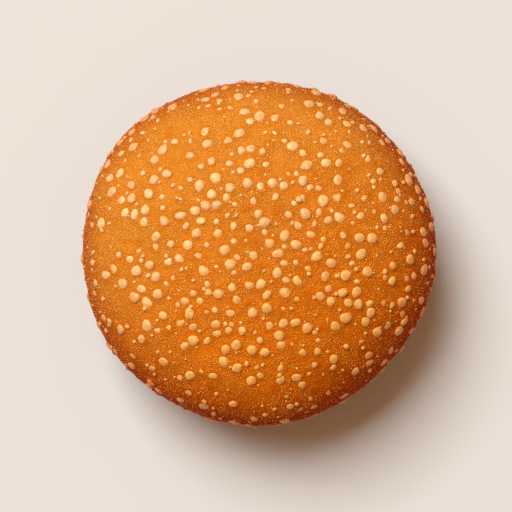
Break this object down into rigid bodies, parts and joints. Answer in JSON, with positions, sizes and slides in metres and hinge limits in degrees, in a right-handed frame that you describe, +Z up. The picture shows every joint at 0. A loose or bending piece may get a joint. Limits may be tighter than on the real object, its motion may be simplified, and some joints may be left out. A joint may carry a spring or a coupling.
{
  "type": "anarsa",
  "caption": "Round fried sweet, a squat bun with a domed crown, full sides and a flat base, coated with sesame seeds that stand out of its crust.",
  "frame": {"origin": "the middle of the flat face that the sweet rests on", "axes": "+Z up through the middle of the crown, +X across the sweet's width, its longest side, +Y across its depth"},
  "size_m": [0.0655, 0.0641, 0.0336],
  "materials": {
    "fried_dough": "satin",
    "sesame_seed": "satin",
    "rice_grit": "satin"
  },
  "bodies": {
    "root": {"anarsa": "fried_dough"}
  },
  "joints": []
}
